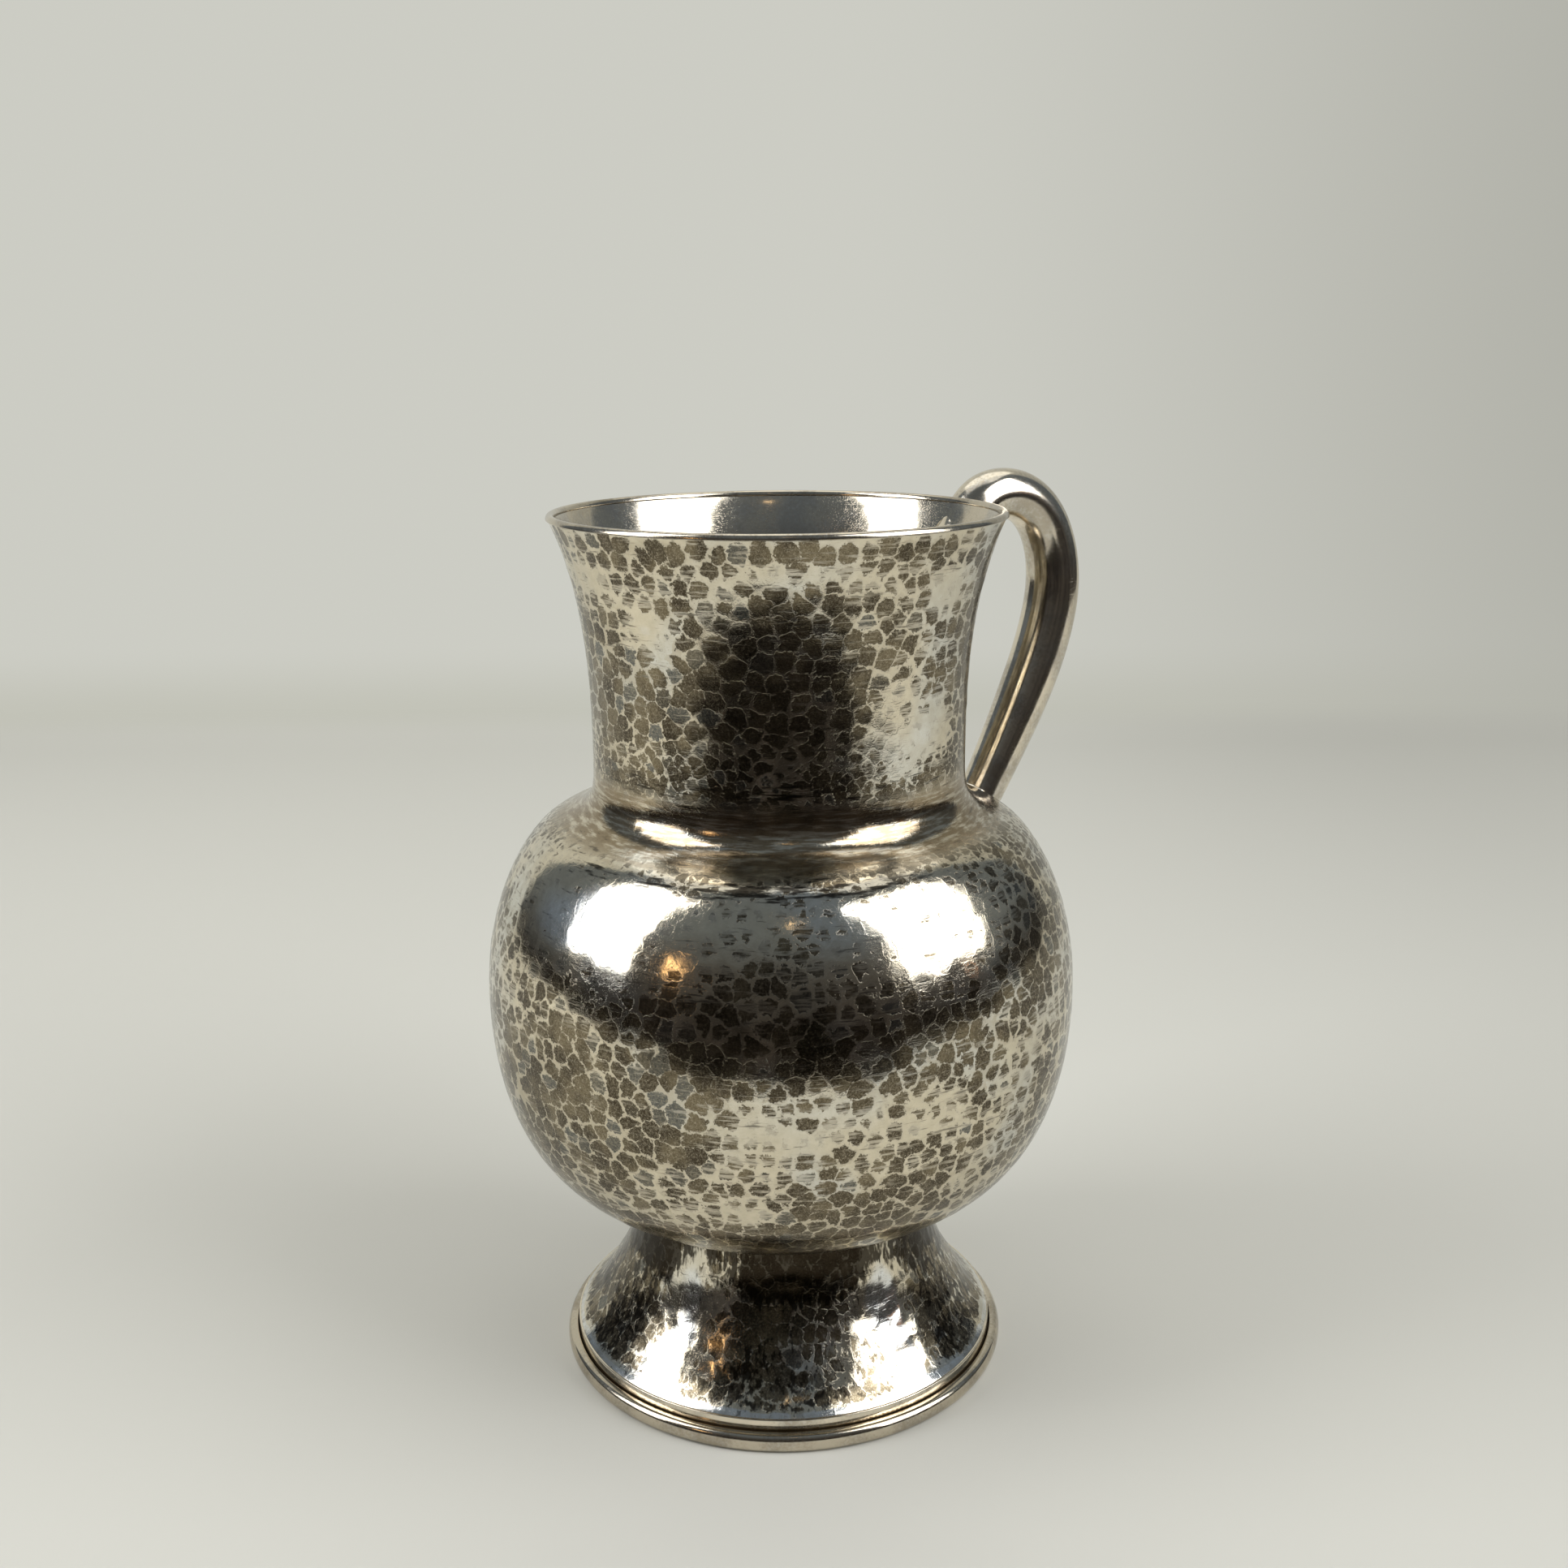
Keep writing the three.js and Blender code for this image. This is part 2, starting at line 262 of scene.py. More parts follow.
MARK_SCATTER = 0.36  # of the pitch
MARKS_MISSED = 0.08  # of them all
NEAR_MARKS = 4


def hammer_marks(rows, row_pitch, column_pitch):
    """Centres of the hammer marks, laid ring by ring as a silversmith does, and each one's radius."""
    along = np.r_[0, np.cumsum(np.linalg.norm(np.diff(rows, axis=0), axis=1))]
    centres, sizes = [], []
    place = 0.4 * MM
    while place < along[-1]:
        radius, height = (np.interp(place, along, rows[:, i]) for i in range(2))
        step, pitch = row_pitch(height), column_pitch(height)
        count = max(5, round(2 * math.pi * radius / pitch))
        phase = random.uniform()
        turn = (np.arange(count) + phase + random.uniform(-MARK_SCATTER, MARK_SCATTER, count)) / count
        slip = place + random.uniform(-MARK_SCATTER, MARK_SCATTER, count) * step
        radii, heights = (np.interp(slip, along, rows[:, i]) for i in range(2))
        angle = turn * 2 * math.pi
        centres.append(np.stack([AXIS_X + radii * np.cos(angle), radii * np.sin(angle), heights], axis=1))
        sizes.append(np.full(count, math.sqrt(step * pitch / math.pi) * 1.1))
        place += step
    kept = random.uniform(size=sum(map(len, centres))) > MARKS_MISSED
    return np.vstack(centres)[kept], np.concatenate(sizes)[kept]


def nearest_marks(points, centres):
    """For each point, the indices of its nearest hammer marks."""
    tree = kdtree.KDTree(len(centres))
    for i, centre in enumerate(centres):
        tree.insert(centre, i)
    tree.balance()
    return np.array([[hit[1] for hit in tree.find_n(p, NEAR_MARKS)] for p in points])


def hammered_relief(points, centres, sizes, depth, tilt):
    """Height of the surface at each point: shallow dishes that meet in soft ridges, each a little askew."""
    near = nearest_marks(points, centres)
    away = points[:, None, :] - centres[near]
    distance2 = (away**2).sum(axis=2) / sizes[near] ** 2
    weight = np.exp(-(distance2 - distance2.min(axis=1)[:, None]) / 0.16)
    weight /= weight.sum(axis=1)[:, None]
    how_deep = random.uniform(0.55, 1.35, len(centres))
    lean = random.normal(0, 1, (len(centres), 3)) * tilt
    dish = -how_deep[near] * (1 - distance2) * 0.5
    askew = (away * lean[near]).sum(axis=2)
    return (weight * (dish * depth(points)[:, None] + askew)).sum(axis=1)


def slow_noise(points, size, shift=0.0):
    """Smooth noise between about -1 and 1 whose lumps are about `size` across."""
    return np.array([noise.noise(Vector(p) / size + Vector((shift, 2 * shift, -shift))) for p in points])


def view_angle(points):
    """Degrees round the vessel from the side that faces the camera, positive to the viewer's right."""
    flat = points - np.array([AXIS_X, 0, 0])
    return np.degrees(np.arctan2(flat @ VIEW_RIGHT, flat @ VIEW_TOWARD))


def spot(angle, height, at_angle, at_height, wide, tall, amount):
    """A soft patch on the vessel: degrees and millimetres."""
    across = (angle - at_angle + 180) % 360 - 180
    return amount * np.exp(-((across / wide) ** 2) - ((height / MM - at_height) / tall) ** 2)


def ramp(value, low, high):
    t = np.clip((value - low) / (high - low), 0, 1)
    return t * t * (3 - 2 * t)


# ---- Materials ----


class Graph:
    """The nodes of a material or the world, written as expressions."""

    def __init__(self, owner):
        self.owner = owner
        owner.use_nodes = True
        self.tree = owner.node_tree
        self.tree.nodes.clear()

    def node(self, kind, inputs=(), **settings):
        made = self.tree.nodes.new(kind)
        for key, value in settings.items():
            setattr(made, key, value)
        for key, value in dict(inputs).items():
            if isinstance(value, bpy.types.NodeSocket):
                self.tree.links.new(value, made.inputs[key])
            else:
                made.inputs[key].default_value = value
        return made

    def math(self, operation, *values, clamp=False):
        inputs = dict(enumerate(values))
        return self.node("ShaderNodeMath", inputs, operation=operation, use_clamp=clamp).outputs[0]

    def vector(self, operation, *values):
        made = self.node("ShaderNodeVectorMath", dict(enumerate(values)), operation=operation)
        return made.outputs[1 if operation in ("DISTANCE", "LENGTH", "DOT_PRODUCT") else 0]

    def scaled(self, vector, factor):
        return self.node("ShaderNodeVectorMath", {0: vector, "Scale": factor}, operation="SCALE").outputs[0]

    def smooth(self, value, low, high, to_low=0.0, to_high=1.0):
        inputs = {"Value": value, "From Min": low, "From Max": high, "To Min": to_low, "To Max": to_high}
        return self.node("ShaderNodeMapRange", inputs, interpolation_type="SMOOTHSTEP").outputs[0]

    def linear(self, value, low, high, to_low=0.0, to_high=1.0):
        inputs = {"Value": value, "From Min": low, "From Max": high, "To Min": to_low, "To Max": to_high}
        return self.node("ShaderNodeMapRange", inputs).outputs[0]

    def mix(self, factor, a, b):
        return self.node("ShaderNodeMix", {0: factor, 2: a, 3: b}).outputs[0]

    def blend(self, factor, a, b):
        a, b = [(*c, 1) if isinstance(c, tuple) and len(c) == 3 else c for c in (a, b)]
        return self.node("ShaderNodeMix", {0: factor, 6: a, 7: b}, data_type="RGBA").outputs[2]

    def noise(self, vector, scale, detail=2.0, roughness=0.5):
        inputs = {"Vector": vector, "Scale": scale, "Detail": detail, "Roughness": roughness}
        return self.node("ShaderNodeTexNoise", inputs).outputs

    def attribute(self, name):
        return self.node("ShaderNodeAttribute", attribute_name=name)

    def millimetres(self):
        return self.scaled(self.node("ShaderNodeTexCoord").outputs["Object"], 1000.0)

    def bump(self, height, distance):
        inputs = {"Height": height, "Strength": 1.0, "Distance": distance}
        return self.node("ShaderNodeBump", inputs).outputs[0]

    def emission(self, colour):
        return self.node("ShaderNodeEmission", {"Color": colour, "Strength": 1.0}).outputs[0]

    def between(self, share, first, second):
        return self.node("ShaderNodeMixShader", {0: share, 1: first, 2: second}).outputs[0]

    def surface(self, shader):
        """Ends a material with this shader and returns the material."""
        self.node("ShaderNodeOutputMaterial", {0: shader})
        return self.owner

    def metal(self, colour, roughness, normal):
        inputs = {"Base Color": colour, "Metallic": 1.0, "Roughness": roughness, "Normal": normal}
        return self.surface(self.node("ShaderNodeBsdfPrincipled", inputs).outputs[0])


def material_graph(name):
    return Graph(bpy.data.materials.new(name))


SILVER = (0.95, 0.865, 0.715)
SILVER_COOL = (0.86, 0.87, 0.86)
SPOT_LIGHT = (0.21, 0.172, 0.11)
SPOT_DARK = (0.070, 0.056, 0.038)
SPOT_GREY = (0.15, 0.155, 0.145)
SPOT_WORN = (0.40, 0.345, 0.25)
WORN_SILVER = (0.80, 0.72, 0.56)
WORN_COOL = (0.74, 0.755, 0.73)
PAINTED_SHADE_BLACK = (0.017, 0.012, 0.007)
BROWN = (0.27, 0.175, 0.075)
DEEP_BROWN = (0.17, 0.11, 0.045)
PALE_SPECK = (0.62, 0.55, 0.42)
DULL_SILVER = (0.52, 0.46, 0.345)
STAINED_SILVER = (0.50, 0.43, 0.30)
SPOT_HALO = (0.60, 0.56, 0.49)
DULL_CLOUD = (0.48, 0.40, 0.28)
THIN_TARNISH = (0.20, 0.16, 0.10)


def scratches(g, place, reach, fine):
    """Fine scratches in several directions: noise stretched along tilted axes."""
    height = None
    for tilt, (x, y, z) in enumerate(((0.9, 0.25, 0.4), (-0.5, 0.9, 1.1), (0.3, -1.3, 0.2))):
        turned = g.node(
            "ShaderNodeMapping",
            {"Vector": place, "Rotation": (x, y, z), "Scale": (reach, fine, fine)},
        ).outputs[0]
        layer = g.noise(turned, 1.0 + 0.1 * tilt, 2.0, 0.6)[0]
        layer = g.smooth(layer, 0.60, 0.72)
        height = layer if height is None else g.math("ADD", height, layer)
    return height


def ridge_distance(g, distances):
    """About 0 on a ridge and largest in the middle of a mark, with the corners between marks rounded."""
    a, b, c, d = distances
    low_ab, low_cd = g.math("MINIMUM", a, b), g.math("MINIMUM", c, d)
    high_ab, high_cd = g.math("MAXIMUM", a, b), g.math("MAXIMUM", c, d)
    nearest = g.math("MINIMUM", low_ab, low_cd)
    middle = g.math("MAXIMUM", low_ab, low_cd)
    second = g.math("MINIMUM", g.math("MINIMUM", high_ab, high_cd), middle)
    return g.math("SUBTRACT", g.math("MULTIPLY_ADD", nearest, -1.34, second), -0.62)


def nearest_level(g, distances):
    """The random number of the nearest mark, so that each mark has a tone of its own."""
    levels = g.node("ShaderNodeSeparateXYZ", {0: g.attribute("levels").outputs["Vector"]}).outputs
    last = g.attribute("level_last").outputs["Fac"]
    level, best = levels[0], distances[0]
    for value, distance in zip((levels[1], levels[2], last), distances[1:]):
        closer = g.math("LESS_THAN", distance, best)
        level = g.mix(closer, level, value)
        best = g.math("MINIMUM", best, distance)
    return level


def spot_colour(g, place, level, grain):
    """Tarnish inside a mark: a brown or grey of its own, mottled and specked."""
    tone = g.noise(place, 0.16, 2.0, 0.5)[0]
    body = g.blend(g.smooth(tone, 0.35, 0.65), SPOT_DARK, SPOT_LIGHT)
    body = g.blend(g.smooth(level, 0.80, 1.0), body, SPOT_GREY)
    body = g.blend(g.smooth(level, 0.0, 0.35, 0.7, 0.0), body, SPOT_DARK)
    body = g.blend(g.smooth(grain, 0.46, 0.68, 0.0, 0.6), body, SPOT_WORN)
    body = g.blend(g.smooth(grain, 0.46, 0.34, 0.0, 0.55), body, SPOT_DARK)
    fine_speck = g.noise(place, 4.2, 2.0, 0.6)[0]
    broad_speck = g.noise(place, 1.9, 3.0, 0.7)[0]
    specks = g.smooth(g.math("MULTIPLY_ADD", broad_speck, 0.6, fine_speck), 0.86, 1.02)
    return g.blend(g.math("MULTIPLY", specks, 0.45), body, PALE_SPECK)


def clean_colour(g, place, wear, wear_here, halo, burnished_film):
    """Silver between the spots: warm or cool, dulled in clouds, stained where little rubbed."""
    cool = g.smooth(g.noise(place, 0.045, 1.0, 0.5)[0], 0.48, 0.68)
    clean = g.blend(g.math("MULTIPLY", cool, 0.7), WORN_SILVER, WORN_COOL)
    clean = g.blend(g.smooth(wear, 0.85, 1.15), clean, SILVER_COOL)
    dull = g.linear(g.noise(place, 0.5, 4.0, 0.6)[0], 0.35, 0.7, 0.0, 0.4)
    clean = g.blend(dull, clean, DULL_SILVER)
    clean = g.blend(g.smooth(wear_here, 0.08, 0.42, 0.45, 0.0), clean, STAINED_SILVER)
    clean = g.blend(g.math("MULTIPLY", halo, 0.28), clean, SPOT_HALO)
    return g.blend(g.math("MULTIPLY", burnished_film, 0.72), clean, BROWN)


def hammered_silver(name, line, spread, edge_grain, streaky):
    """Silver whose hammer marks hold dark tarnish, rubbed bright on the ridges between them.

    The face attributes mark_0 to mark_3 hold the centres of the four nearest hammer marks, in
    millimetres, and levels and level_last a random number for each. The point attribute wear says how
    far the surface is rubbed clean, smoothed how far it is burnished, and shade how far painted
    shade darkens it nearly to black.
    """
    g = material_graph(name)
    place = g.millimetres()
    wobble = g.vector("SUBTRACT", g.noise(place, 0.55, 4.0, 0.62)[1], (0.5, 0.5, 0.5))
    bent = g.vector("ADD", place, g.scaled(wobble, 2.6))
    marks = [g.attribute(f"mark_{i}").outputs["Vector"] for i in range(NEAR_MARKS)]
    distances = [g.vector("DISTANCE", bent, mark) for mark in marks]
    inside = ridge_distance(g, distances)
    level = nearest_level(g, distances)

    # The bright lines on the ridges widen with wear, and come and go in slow patches.
    wear = g.attribute("wear").outputs["Fac"]
    patchy = g.noise(place, 0.22, 3.0, 0.55)[0]
    wear_here = g.math("ADD", wear, g.linear(patchy, 0.3, 0.7, -0.16, 0.16))
    wear_here = g.math("ADD", wear_here, g.linear(level, 0.0, 1.0, -0.2, 0.2))
    wear_here = g.math("MAXIMUM", wear_here, 0.0)
    width = g.math("MULTIPLY_ADD", g.math("POWER", wear_here, 1.5), spread, line)
    merging = g.noise(place, 0.12, 2.0, 0.6)[0]
    width = g.math("ADD", width, g.linear(merging, 0.35, 0.65, -0.42, 0.25))

    grain = g.noise(place, 2.3, 5.0, 0.72)[0]
    coarse = g.noise(place, 1.1, 2.0, 0.5)[0]
    ragged = g.math("ADD", g.linear(grain, 0.25, 0.75, -1, 1), g.linear(coarse, 0.3, 0.7, -0.7, 0.7))
    ragged = g.math("MULTIPLY", ragged, g.math("MULTIPLY_ADD", wear_here, edge_grain, 0.42))
    depth = g.math("SUBTRACT", g.math("ADD", inside, ragged), width)
    spots = g.smooth(depth, -0.10, 0.22)
    halo = g.smooth(depth, -0.9, 0.1)

    streaks = g.noise(g.vector("MULTIPLY", place, streaky), 1.0, 3.0, 0.6)[0]
    rubbed = g.smooth(g.math("MULTIPLY_ADD", wear_here, 0.35, streaks), 0.60, 0.76)
    spots = g.math("MULTIPLY", spots, g.math("SUBTRACT", 1.0, g.math("MULTIPLY", rubbed, 0.8)))

    # Burnished places have hardly any spots: a brown film that lies in streaks instead.
    smoothed = g.attribute("smoothed").outputs["Fac"]
    film = g.smooth(streaks, 0.36, 0.56)
    spots = g.mix(smoothed, spots, g.math("MULTIPLY", film, 0.25))

    clean = clean_colour(g, place, wear, wear_here, halo, g.math("MULTIPLY", smoothed, film))
    colour = g.blend(spots, clean, spot_colour(g, place, level, grain))
    # Painted shade: the shade attribute, broken up by streaks, darkens the colour nearly to black.
    shade = g.attribute("shade").outputs["Fac"]
    painted_shade = g.math("MULTIPLY_ADD", shade, 0.75, g.linear(streaks, 0.3, 0.7, -0.3, 0.3))
    colour = g.blend(g.math("MULTIPLY", g.smooth(painted_shade, 0.16, 0.40), 0.92), colour, PAINTED_SHADE_BLACK)

    roughness = g.mix(spots, 0.105, 0.17)
    roughness = g.math("ADD", roughness, g.linear(grain, 0.3, 0.7, -0.03, 0.04))
    scored = scratches(g, place, 0.16, 3.2)
    relief = g.math("MULTIPLY_ADD", scored, -0.0022, g.math("MULTIPLY", spots, -0.006))
    relief = g.math("MULTIPLY_ADD", g.smooth(inside, 0.0, 0.9), -0.006, relief)
    relief = g.math("MULTIPLY_ADD", grain, 0.006, relief)
    return g.metal(colour, roughness, g.bump(relief, MM))


BROWN_EDGE = 0.6  # how ragged the brown tarnish's upper edge is, in millimetres


def polished_silver(name, scratch=0.0022, dull_share=0.25, brown_below=None, wobble=0.0, tone=0.0):
    """Bright silver with fine scratches, faint dull clouds and, below a height, brown tarnish."""
    g = material_graph(name)
    place = g.millimetres()
    clouds = g.noise(place, 0.11, 3.0, 0.55)[0]
    fine = g.noise(place, 1.7, 4.0, 0.65)[0]
    colour = g.blend(g.smooth(clouds, 0.42, 0.68), SILVER, SILVER_COOL)
    dull = g.smooth(g.math("MULTIPLY_ADD", fine, 0.5, clouds), 0.62, 0.95, 0.0, dull_share)
    colour = g.blend(dull, colour, DULL_CLOUD)
    colour = g.blend(tone, colour, THIN_TARNISH)
    pits = g.smooth(g.noise(place, 2.9, 3.0, 0.7)[0], 0.70, 0.78)
    colour = g.blend(g.math("MULTIPLY", pits, 0.5), colour, SPOT_DARK)
    roughness = g.linear(clouds, 0.3, 0.7, 0.10, 0.17)
    if brown_below is not None:
        height = g.node("ShaderNodeSeparateXYZ", {0: place}).outputs[2]
        above = g.math("SUBTRACT", height, brown_below / MM)
        ragged = g.math("MULTIPLY_ADD", fine, 2.4 * BROWN_EDGE, above)
        tarnish = g.smooth(ragged, 1.2 * BROWN_EDGE - 0.35, 1.2 * BROWN_EDGE + 0.35, 1.0, 0.0)
        colour = g.blend(g.math("MULTIPLY", tarnish, 0.9), colour, DEEP_BROWN)
        roughness = g.mix(tarnish, roughness, 0.38)
    marks = scratches(g, place, 0.13, 3.6)
    relief = g.math("MULTIPLY", marks, -scratch)
    relief = g.math("MULTIPLY_ADD", fine, scratch, relief)
    if wobble:
        relief = g.math("MULTIPLY_ADD", g.noise(place, 0.22, 1.0, 0.4)[0], wobble, relief)
    return g.metal(colour, roughness, g.bump(relief, MM))


BODY_STREAKS = (0.16, 0.16, 1.5)
FOOT_STREAKS = (0.9, 0.9, 0.22)
hammered_body = hammered_silver("hammered_vessel", 0.22, 2.9, 0.8, BODY_STREAKS)
hammered_foot = hammered_silver("hammered_foot", 0.10, 2.6, 1.0, FOOT_STREAKS)
polished_inside = polished_silver("polished_inside", scratch=0.005, dull_share=0.45, wobble=0.06, tone=0.36)
polished_handle = polished_silver("polished_handle", scratch=0.0022, dull_share=0.75, wobble=0.03, tone=0.20)
polished_wire = polished_silver("polished_wire", scratch=0.003, dull_share=0.8, tone=0.42)
band_finish = polished_silver("tarnished_band", dull_share=0.8, tone=0.1, brown_below=WIRE_TOP + 0.5 * MM)
solder_finish = polished_silver("solder_finish", scratch=0.005, dull_share=0.6, wobble=0.02)


# ---- Vessel ----


def vessel():
    columns = 330
    outline, closed = cad_outline("vessel_body")
    runs = section_runs(outline, closed)
    outside, edge, inside = runs[0], runs[1:-1], runs[-1]
    rows = rounded_rows([outside, *edge, inside], [1.0 * MM, *[0.4 * MM] * len(edge), 2.2 * MM], 0.12 * MM)
    rows = rows[1:-1]  # the two poles are vertices of their own
    outer_count = int(np.argmax(rows[:, 1]))
    grid = turned_grid(rows, columns)

    outer_rows = rows[:outer_count]
    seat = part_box("foot_trumpet")[1].z
    fillet_low, fillet_high = 118 * MM, 131 * MM

    def row_pitch(height):
        neck = ramp(height, fillet_high, fillet_high + 14 * MM)
        bulb = 1 - ramp(height, fillet_low - 9 * MM, fillet_low)
        return (1.5 + 2.0 * neck + 2.0 * bulb) * MM

    def column_pitch(height):
        neck = ramp(height, fillet_high - 2 * MM, fillet_high + 16 * MM)
        bulb = 1 - ramp(height, fillet_low - 8 * MM, fillet_low)
        low = 1 - ramp(height, seat, seat + 26 * MM)
        return (2.5 + 1.4 * neck + 0.9 * bulb - 0.6 * low) * MM

    centres, sizes = hammer_marks(outer_rows, row_pitch, column_pitch)

    def depth(points):
        height = points[:, 2]
        neck = ramp(height, fillet_high, fillet_high + 14 * MM)
        bulb = 1 - ramp(height, fillet_low - 12 * MM, fillet_low)
        under = ramp(height, seat, seat + 4 * MM)
        margin = 1 - ramp(height, RIM_TOP - 5 * MM, RIM_TOP - 2 * MM)
        return (0.010 + 0.085 * neck + 0.034 * bulb) * MM * under * margin

    outer_points = grid[:outer_count].reshape(-1, 3)
    relief = hammered_relief(outer_points, centres, sizes, depth, 0.009)
    height = outer_points[:, 2]
    still = ramp(height, seat, seat + 4 * MM) * (1 - ramp(height, RIM_TOP - 6 * MM, RIM_TOP - 2 * MM))
    relief += still * slow_noise(outer_points, 17 * MM) * 0.05 * MM
    amount = np.zeros(grid.shape[:2])
    amount[:outer_count] = relief.reshape(outer_count, columns)
    inner_points = grid[outer_count + 3 :].reshape(-1, 3)
    inner_wave = slow_noise(inner_points, 11 * MM, 5.0) * 0.045 * MM
    inner_wave *= 1 - ramp(inner_points[:, 2], RIM_TOP - 5 * MM, RIM_TOP - 2 * MM)
    amount[outer_count + 3 :] = inner_wave.reshape(-1, columns)
    grid = push(grid, rows, amount)

    vertices = grid.reshape(-1, 3)
    count = len(vertices)
    poles = [[AXIS_X, 0, rows[0, 1]], [AXIS_X, 0, rows[-1, 1]]]
    vertices = np.vstack([vertices, poles])
    quads = grid_faces(len(rows), columns, False)
    first_ring, last_ring = np.arange(columns), count - columns + np.arange(columns)
    ends = fan(count, first_ring, True) + fan(count + 1, last_ring, False)
    quad_row = np.arange(len(quads)) // columns
    finish = np.r_[np.where(quad_row < outer_count, 0, 1), np.zeros(columns), np.ones(columns)]
    made = new_object("vessel", vertices, [*quads, *ends], [hammered_body, polished_inside], finish)

    mark_faces(made, centres, len(quads) // (len(rows) - 1) * outer_count)
    angle, height = view_angle(vertices), vertices[:, 2]
    wear = 0.15 + 0.26 * slow_noise(vertices, 22 * MM, 3.0) + 0.18 * slow_noise(vertices, 9 * MM, 9.0)
    for patch in VESSEL_PATCHES:
        wear += spot(angle, height, *patch)
    wear += 0.4 * ramp(height, RIM_TOP - 2.6 * MM, RIM_TOP - 1.6 * MM)
    smoothed = ramp(height, fillet_low - 1 * MM, fillet_low + 2 * MM)
    smoothed *= 1 - ramp(height, fillet_high - 4 * MM, fillet_high)
    # Painted shade: the bulb's underside just above the foot's seat darkened nearly to black, with the bands
    # listed below.
    shade = 0.7 * ramp(height, seat + 3.2 * MM, seat + 0.5 * MM)
    for patch in VESSEL_SHADE:
        shade += spot(angle, height, *patch)
    set_attribute(made, "wear", "FLOAT", "POINT", np.clip(wear, 0, 1.4))
    set_attribute(made, "shade", "FLOAT", "POINT", np.clip(shade, 0, 1))
    set_attribute(made, "smoothed", "FLOAT", "POINT", smoothed)
    return made


def mark_faces(made, centres, marked):
    """Stores on each hammered face the centres of its four nearest marks and their random levels."""
    faces = len(made.data.polygons)
    middle = np.empty(faces * 3)
    made.data.polygons.foreach_get("center", middle)
    near = nearest_marks(middle.reshape(-1, 3)[:marked], centres)
    level = random.uniform(0, 1, len(centres))
    for i in range(NEAR_MARKS):
        values = np.zeros((faces, 3))
        values[:marked] = centres[near[:, i]] / MM
        set_attribute(made, f"mark_{i}", "FLOAT_VECTOR", "FACE", values)
    levels, last = np.zeros((faces, 3)), np.zeros(faces)
    levels[:marked] = level[near[:, :3]]
    last[:marked] = level[near[:, 3]]
    set_attribute(made, "levels", "FLOAT_VECTOR", "FACE", levels)
    set_attribute(made, "level_last", "FLOAT", "FACE", last)


# Patches where the tarnish is rubbed away, or lies thick where negative:
# degrees round from the viewer's side, height in mm, half-widths in degrees and mm, amount.
VESSEL_PATCHES = [
    (5, 75, 17, 9, 0.42),
    (-15, 58, 14, 6, 0.38),
    (34, 68, 18, 9, 0.26),
    (52, 74, 14, 16, 0.16),
    (-42, 70, 22, 13, -0.30),
    (2, 52, 20, 3.5, -0.22),
    (-3, 112, 62, 8, 0.44),
    (-38, 106, 17, 11, 0.85),
    (-60, 108, 18, 10, 0.40),
    (34, 105, 18, 9, 0.60),
    (55, 103, 13, 10, -0.35),
    (23, 91, 14, 6, -0.18),
    (57, 86, 16, 10, 0.10),
    (-62, 90, 14, 10, 0.12),
    (43, 141, 18, 8, 0.80),
    (36, 157, 9, 5, 0.15),
    (-58, 150, 20, 16, -0.22),
    (-8, 150, 16, 14, -0.12),
    (-38, 161, 8, 3.5, 0.75),
    (-61, 169, 14, 4, 0.75),
    (6, 172, 26, 2.5, 0.75),
    (50, 167, 11, 6, 0.70),
    (-30, 139, 30, 3, 0.30),
    (-24, 176, 16, 2, -0.25),
    (150, 80, 30, 14, 0.30),
    (-130, 100, 26, 12, 0.28),
    (-150, 150, 26, 10, 0.30),
    (-110, 65, 24, 10, -0.20),
]

# Where painted shade darkens the vessel nearly to black, in the same form
VESSEL_SHADE = [
    (-5, 131.5, 60, 2.2, 0.32),
    (-6, 116.5, 50, 1.2, 0.45),
    (-78, 80, 12, 20, 0.10),
]

pitcher_vessel = vessel()
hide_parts("vessel_body")
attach(pitcher_vessel, "root")


# ---- Foot ----


